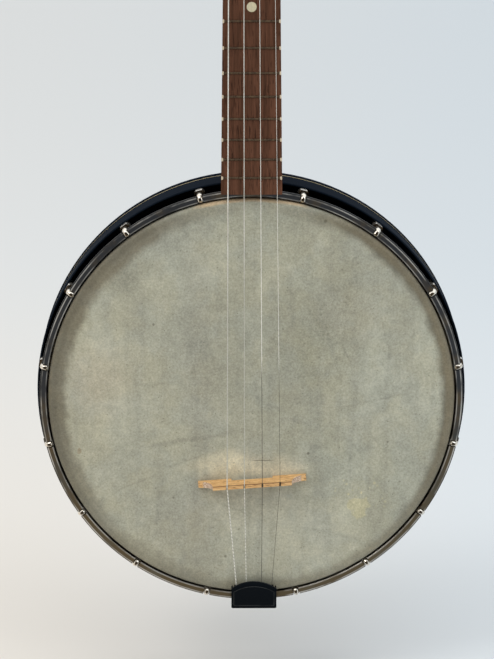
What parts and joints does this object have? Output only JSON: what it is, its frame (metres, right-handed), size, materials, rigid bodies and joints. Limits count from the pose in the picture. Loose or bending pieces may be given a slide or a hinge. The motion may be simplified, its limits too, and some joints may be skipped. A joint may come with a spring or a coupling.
{
  "type": "banjo",
  "caption": "Four-string banjo with a skin head on a hooked round pot, a closed black back, a fretted neck and friction tuning pegs.",
  "frame": {"origin": "centre of the resonator's flat back", "axes": "+Z along the pot towards the headstock, +Y out of the back, +X to the right seen from the front"},
  "size_m": [0.3, 0.0914, 0.7921],
  "materials": {
    "rim_black": "black lacquer over laminated maple",
    "tone_brass": "drawn rod",
    "calfskin": "dry, mottled, stained at the edge",
    "flesh_wire": "tarnished",
    "hoop_metal": "worn nickel, browned",
    "nickel": "bright nickel plate, slightly worn",
    "dull_nickel": "dull nickel plate",
    "stick_wood": "oiled maple",
    "back_black": "polished black lacquer",
    "stripe_gold": "gold line",
    "spacer_wood": "dark stained",
    "screw_steel": "worn",
    "tail_black": "satin black enamel",
    "bridge_maple": "bare maple",
    "neck_wood": "satin brown finish",
    "board_wood": "open-grained, reddish brown",
    "fret_metal": "aged nickel silver",
    "dot_cream": "cream",
    "nut_bone": "bone",
    "overlay_black": "polished black",
    "string_plain": "plain steel",
    "string_wound": "close wound",
    "button_cream": "grained cream"
  },
  "bodies": {
    "banjo": {"shell": "rim_black", "tone_ring": "tone_brass", "head_skin": "calfskin", "flesh_hoop": "flesh_wire", "tension_hoop": "hoop_metal", "hooks": "nickel", "shoes": "nickel", "shoe_screws": "screw_steel", "hook_nuts": "dull_nickel", "dowel_stick": "stick_wood", "neck_brace": "dull_nickel", "brace_screws": "screw_steel", "resonator": "back_black", "pinstripe": "stripe_gold", "spacers": "spacer_wood", "resonator_screws": "screw_steel", "end_pin": "nickel", "tail_spacer": "dull_nickel", "tailpiece_base": "tail_black", "hinge_pin": "screw_steel", "bridge": "bridge_maple", "neck": "neck_wood", "fretboard": "board_wood", "frets": "fret_metal", "position_dots": "dot_cream", "nut": "nut_bone", "headstock_overlay": "overlay_black", "peg_bushes": "nickel", "peg_collars": "nickel", "string_1": "string_plain", "string_2": "string_plain", "string_3": "string_wound", "string_4": "string_wound"},
    "cover": {"tailpiece_cover": "tail_black"},
    "peg_1": {"peg_post_1": "nickel", "peg_button_1": "button_cream", "peg_screw_1": "screw_steel", "winding_1": "string_plain"},
    "peg_2": {"peg_post_2": "nickel", "peg_button_2": "button_cream", "peg_screw_2": "screw_steel", "winding_2": "string_plain"},
    "peg_3": {"peg_post_3": "nickel", "peg_button_3": "button_cream", "peg_screw_3": "screw_steel", "winding_3": "string_wound"},
    "peg_4": {"peg_post_4": "nickel", "peg_button_4": "button_cream", "peg_screw_4": "screw_steel", "winding_4": "string_wound"}
  },
  "joints": [
    {"name": "cover_hinge", "type": "hinge", "parent": "banjo", "child": "cover", "pos_m": [0.0017, -0.0635, -0.1489], "axis": [1, 0, 0], "range_deg": [0, 90]},
    {"name": "peg_1_turn", "type": "hinge", "parent": "banjo", "child": "peg_1", "pos_m": [0.0155, -0.04011, 0.55595], "axis": [0, 0.9703, -0.2419], "continuous": true},
    {"name": "peg_2_turn", "type": "hinge", "parent": "banjo", "child": "peg_2", "pos_m": [0.018, -0.02801, 0.60447], "axis": [0, 0.9703, -0.2419], "continuous": true},
    {"name": "peg_3_turn", "type": "hinge", "parent": "banjo", "child": "peg_3", "pos_m": [-0.018, -0.02801, 0.60447], "axis": [0, 0.9703, -0.2419], "continuous": true},
    {"name": "peg_4_turn", "type": "hinge", "parent": "banjo", "child": "peg_4", "pos_m": [-0.0155, -0.04011, 0.55595], "axis": [0, 0.9703, -0.2419], "continuous": true}
  ]
}
